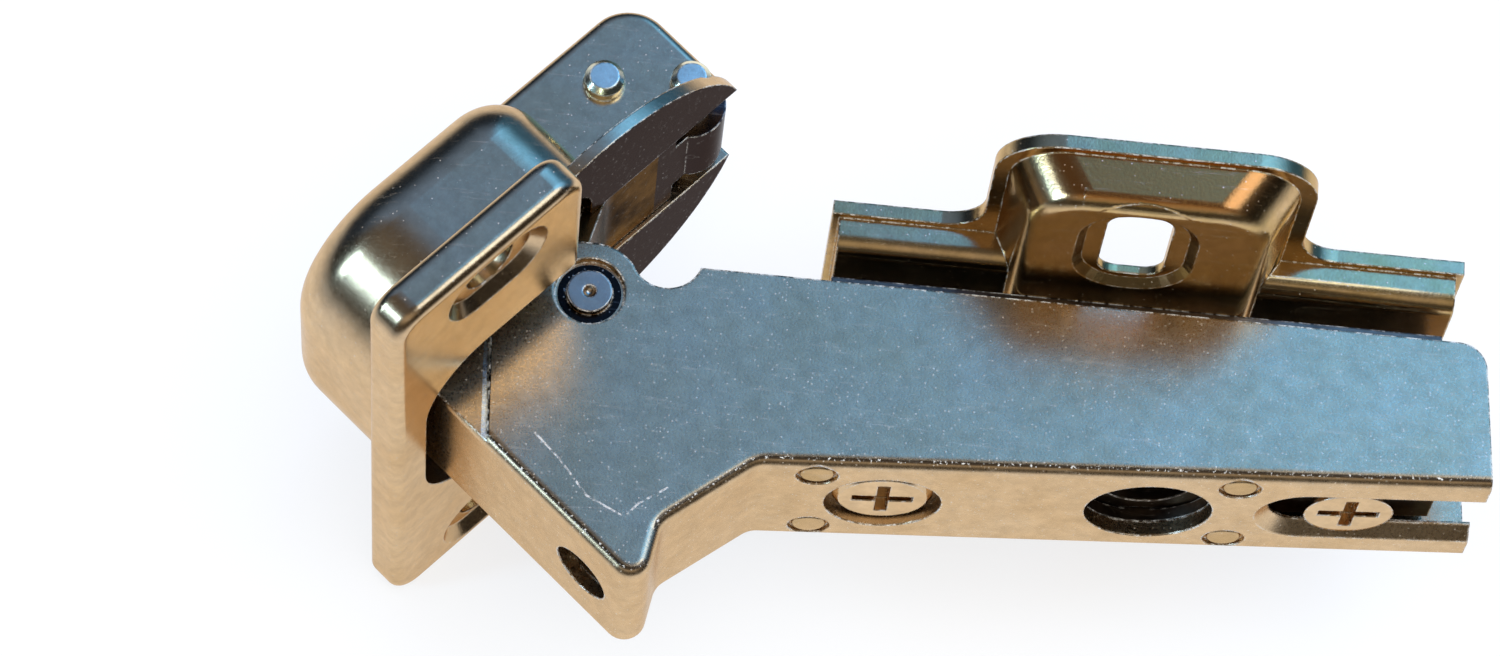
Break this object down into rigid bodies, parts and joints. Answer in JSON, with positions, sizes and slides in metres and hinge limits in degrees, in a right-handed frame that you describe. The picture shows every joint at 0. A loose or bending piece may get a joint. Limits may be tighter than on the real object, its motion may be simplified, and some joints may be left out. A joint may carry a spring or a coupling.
{
  "type": "concealed cabinet hinge",
  "caption": "Concealed angled cabinet hinge: cup with screw flange, four-bar linkage, folded channel arm with adjusting screws, and a winged mounting plate.",
  "frame": {"origin": "on the cabinet panel's face, midway between the two plate screw slots", "axes": "+X along the arm to its rear end, +Y into the cabinet panel, +Z along the pivot pins (up when the door hangs)"},
  "size_m": [0.0892, 0.0462, 0.0504],
  "materials": {
    "nickel_arm": "satin nickel plating on steel",
    "nickel_cup": "satin nickel plating",
    "nickel_plate": "nickel plating on pressed steel",
    "link_steel": "nickel plating on steel",
    "pin_steel": "bright turned steel",
    "screw_steel": "bright plated steel",
    "rivet_steel": "dull steel",
    "spring_steel": "spring steel"
  },
  "bodies": {
    "plate": {"mounting_plate": "nickel_plate", "plate_tongue": "nickel_plate"},
    "clamp": {"clamp_screw": "screw_steel"},
    "arm": {"hinge_arm": "nickel_arm", "guide_plate": "nickel_arm", "guide_rivet_front_lower": "rivet_steel", "guide_rivet_front_upper": "rivet_steel", "guide_rivet_rear_lower": "rivet_steel", "guide_rivet_rear_upper": "rivet_steel", "arm_pin_outer": "pin_steel", "arm_pin_inner": "pin_steel"},
    "adjuster": {"side_adjust_screw": "screw_steel"},
    "outer_bar": {"outer_link": "link_steel"},
    "cup": {"hinge_cup": "nickel_cup", "cup_pin_inner": "pin_steel", "cup_pin_outer": "pin_steel", "closing_spring": "spring_steel"},
    "inner_bar": {"inner_link": "link_steel"}
  },
  "joints": [
    {"name": "arm_depth_slide", "type": "slide", "parent": "plate", "child": "arm", "axis": [0.9976, 0.0698, 0], "range_m": [-0.004, 0.0018]},
    {"name": "clamp_screw_turn", "type": "hinge", "parent": "plate", "child": "clamp", "pos_m": [0.01844, -0.01857, 0], "axis": [0.0698, -0.9976, 0], "range_deg": [0, 720]},
    {"name": "side_screw_turn", "type": "hinge", "parent": "arm", "child": "adjuster", "pos_m": [-0.01648, -0.02101, 0], "axis": [0.0698, -0.9976, 0], "range_deg": [-720, 720]},
    {"name": "outer_link_pivot", "type": "hinge", "parent": "arm", "child": "outer_bar", "pos_m": [-0.0397, -0.00916, 0], "axis": [0, 0, 1], "range_deg": [0, 53.25]},
    {"name": "cup_pivot", "type": "hinge", "parent": "outer_bar", "child": "cup", "pos_m": [-0.03367, 0.00891, 0], "axis": [0, 0, 1], "range_deg": [-146.6, 0]},
    {"name": "inner_link_pivot", "type": "hinge", "parent": "cup", "child": "inner_bar", "pos_m": [-0.04021, 0.00824, 0], "axis": [0, 0, 1], "range_deg": [0, 125.1]}
  ],
  "couplings": [
    {"joint": "cup_pivot", "follows": "outer_link_pivot", "ratio": -2.7506},
    {"joint": "inner_link_pivot", "follows": "outer_link_pivot", "ratio": 2.3465}
  ]
}
